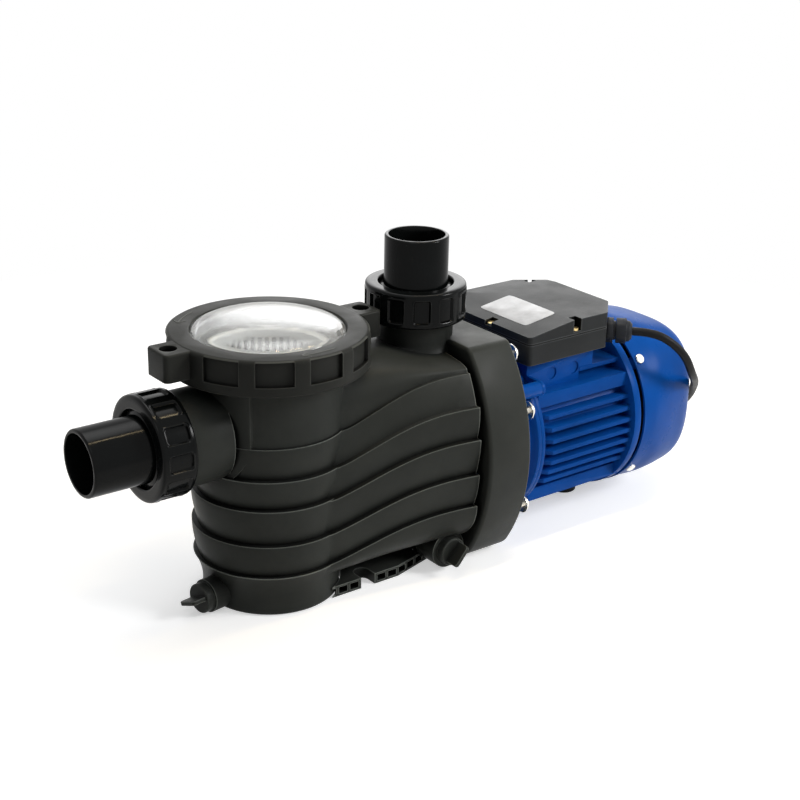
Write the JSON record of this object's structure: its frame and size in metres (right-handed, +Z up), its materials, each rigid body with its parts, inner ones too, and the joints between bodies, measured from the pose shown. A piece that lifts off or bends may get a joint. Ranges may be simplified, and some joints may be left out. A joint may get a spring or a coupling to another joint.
{
  "type": "pool pump",
  "caption": "Self-priming pool pump with a clear-lidded strainer pot, wavy-ribbed body, threaded pipe unions and a finned fan-cooled motor on a mains lead.",
  "frame": {"origin": "centre of the strainer pot's flat underside, on the floor", "axes": "+Z up through the pot and lid, +X along the motor's axis from pot to fan, -X the way the suction pipe leaves"},
  "size_m": [0.5881, 0.3209, 0.2611],
  "materials": {
    "body_plastic": "moulded, fine grain",
    "union_plastic": "gloss black",
    "ring_plastic": "satin black",
    "lid_clear": "clear moulded plastic",
    "basket_plastic": "off-white",
    "seal_rubber": "black rubber",
    "impeller_plastic": "glass-filled plastic",
    "diffuser_plastic": "glass-filled plastic",
    "steel": "ground",
    "zinc": "zinc plated",
    "brass": "plain",
    "ceramic": "ceramic",
    "motor_blue": "gloss blue paint",
    "core_steel": "laminated",
    "copper": "lacquered copper",
    "fan_plastic": "plain",
    "box_plastic": "satin dark grey",
    "block_plastic": "plain",
    "capacitor_white": "plain",
    "gland_plastic": "satin",
    "cable_rubber": "matt"
  },
  "bodies": {
    "pump": {"pump_body": "body_plastic", "lid_seal": "seal_rubber", "suction_seal": "seal_rubber", "discharge_seal": "seal_rubber", "foot_plate": "body_plastic", "foot_screws": "steel", "diffuser": "diffuser_plastic", "seal_plate": "body_plastic", "chamber_seal": "seal_rubber", "shaft_seal_fixed_ring": "ceramic", "front_bearing_outer_race": "steel", "rear_bearing_outer_race": "steel", "front_end_bell": "motor_blue", "motor_frame": "motor_blue", "rear_end_bell": "motor_blue", "stator_core": "core_steel", "stator_windings": "copper", "fan_cowl": "motor_blue", "cowl_screws": "zinc", "frame_screws": "zinc", "flange_bolts": "zinc", "motor_foot": "seal_rubber", "terminal_box": "box_plastic", "terminal_box_gasket": "seal_rubber", "terminal_box_cover": "box_plastic", "cover_screws": "brass", "terminal_block": "block_plastic", "capacitor": "capacitor_white", "cable_gland": "gland_plastic", "gland_cap": "gland_plastic", "power_cord": "cable_rubber", "power_cord_coil": "cable_rubber", "power_cord_end": "cable_rubber", "mains_plug": "gland_plastic"},
    "lid": {"lid": "lid_clear"},
    "lid_ring": {"lid_ring": "ring_plastic"},
    "basket": {"strainer_basket": "basket_plastic"},
    "suction_tail": {"suction_tail": "union_plastic"},
    "suction_nut": {"suction_nut": "union_plastic"},
    "discharge_tail": {"discharge_tail": "union_plastic"},
    "discharge_nut": {"discharge_nut": "union_plastic"},
    "pot_drain_plug": {"pot_drain_plug": "body_plastic", "pot_drain_seal": "seal_rubber"},
    "body_drain_plug": {"body_drain_plug": "body_plastic", "body_drain_seal": "seal_rubber"},
    "rotor": {"motor_shaft": "steel", "rotor_core": "core_steel", "impeller": "impeller_plastic", "impeller_nut": "brass", "shaft_seal_turning_head": "steel", "front_bearing_inner_race": "steel", "rear_bearing_inner_race": "steel", "cooling_fan": "fan_plastic", "fan_clip": "steel"}
  },
  "joints": [
    {"name": "lid_lift", "type": "slide", "parent": "pump", "child": "lid", "axis": [0, 0, 1], "range_m": [0, 0.25]},
    {"name": "lid_ring_turn", "type": "hinge", "parent": "lid", "child": "lid_ring", "pos_m": [0, 0, 0.2], "axis": [0, 0, 1], "range_deg": [0, 90]},
    {"name": "basket_lift", "type": "slide", "parent": "pump", "child": "basket", "axis": [0, 0, 1], "range_m": [0, 0.19]},
    {"name": "suction_tail_pull", "type": "slide", "parent": "pump", "child": "suction_tail", "axis": [-1, 0, 0], "range_m": [0, 0.04]},
    {"name": "suction_nut_turn", "type": "hinge", "parent": "suction_tail", "child": "suction_nut", "pos_m": [-0.09, 0, 0.1402], "axis": [-1, 0, 0], "continuous": true},
    {"name": "discharge_tail_pull", "type": "slide", "parent": "pump", "child": "discharge_tail", "axis": [0, 0, 1], "range_m": [0, 0.04]},
    {"name": "discharge_nut_turn", "type": "hinge", "parent": "discharge_tail", "child": "discharge_nut", "pos_m": [0.1357, 0, 0.2], "axis": [0, 0, 1], "continuous": true},
    {"name": "pot_drain_plug_turn", "type": "hinge", "parent": "pump", "child": "pot_drain_plug", "pos_m": [-0.06379, -0.00953, 0.0126], "axis": [-0.989, -0.1478, 0], "continuous": true},
    {"name": "body_drain_plug_turn", "type": "hinge", "parent": "pump", "child": "body_drain_plug", "pos_m": [0.127, -0.0615, 0.018], "axis": [0, -1, 0], "continuous": true},
    {"name": "rotor_spin", "type": "hinge", "parent": "pump", "child": "rotor", "pos_m": [0.2, 0, 0.086], "axis": [1, 0, 0], "continuous": true}
  ],
  "couplings": [
    {"joint": "basket_lift", "follows": "lid_lift", "ratio": 0.6}
  ]
}
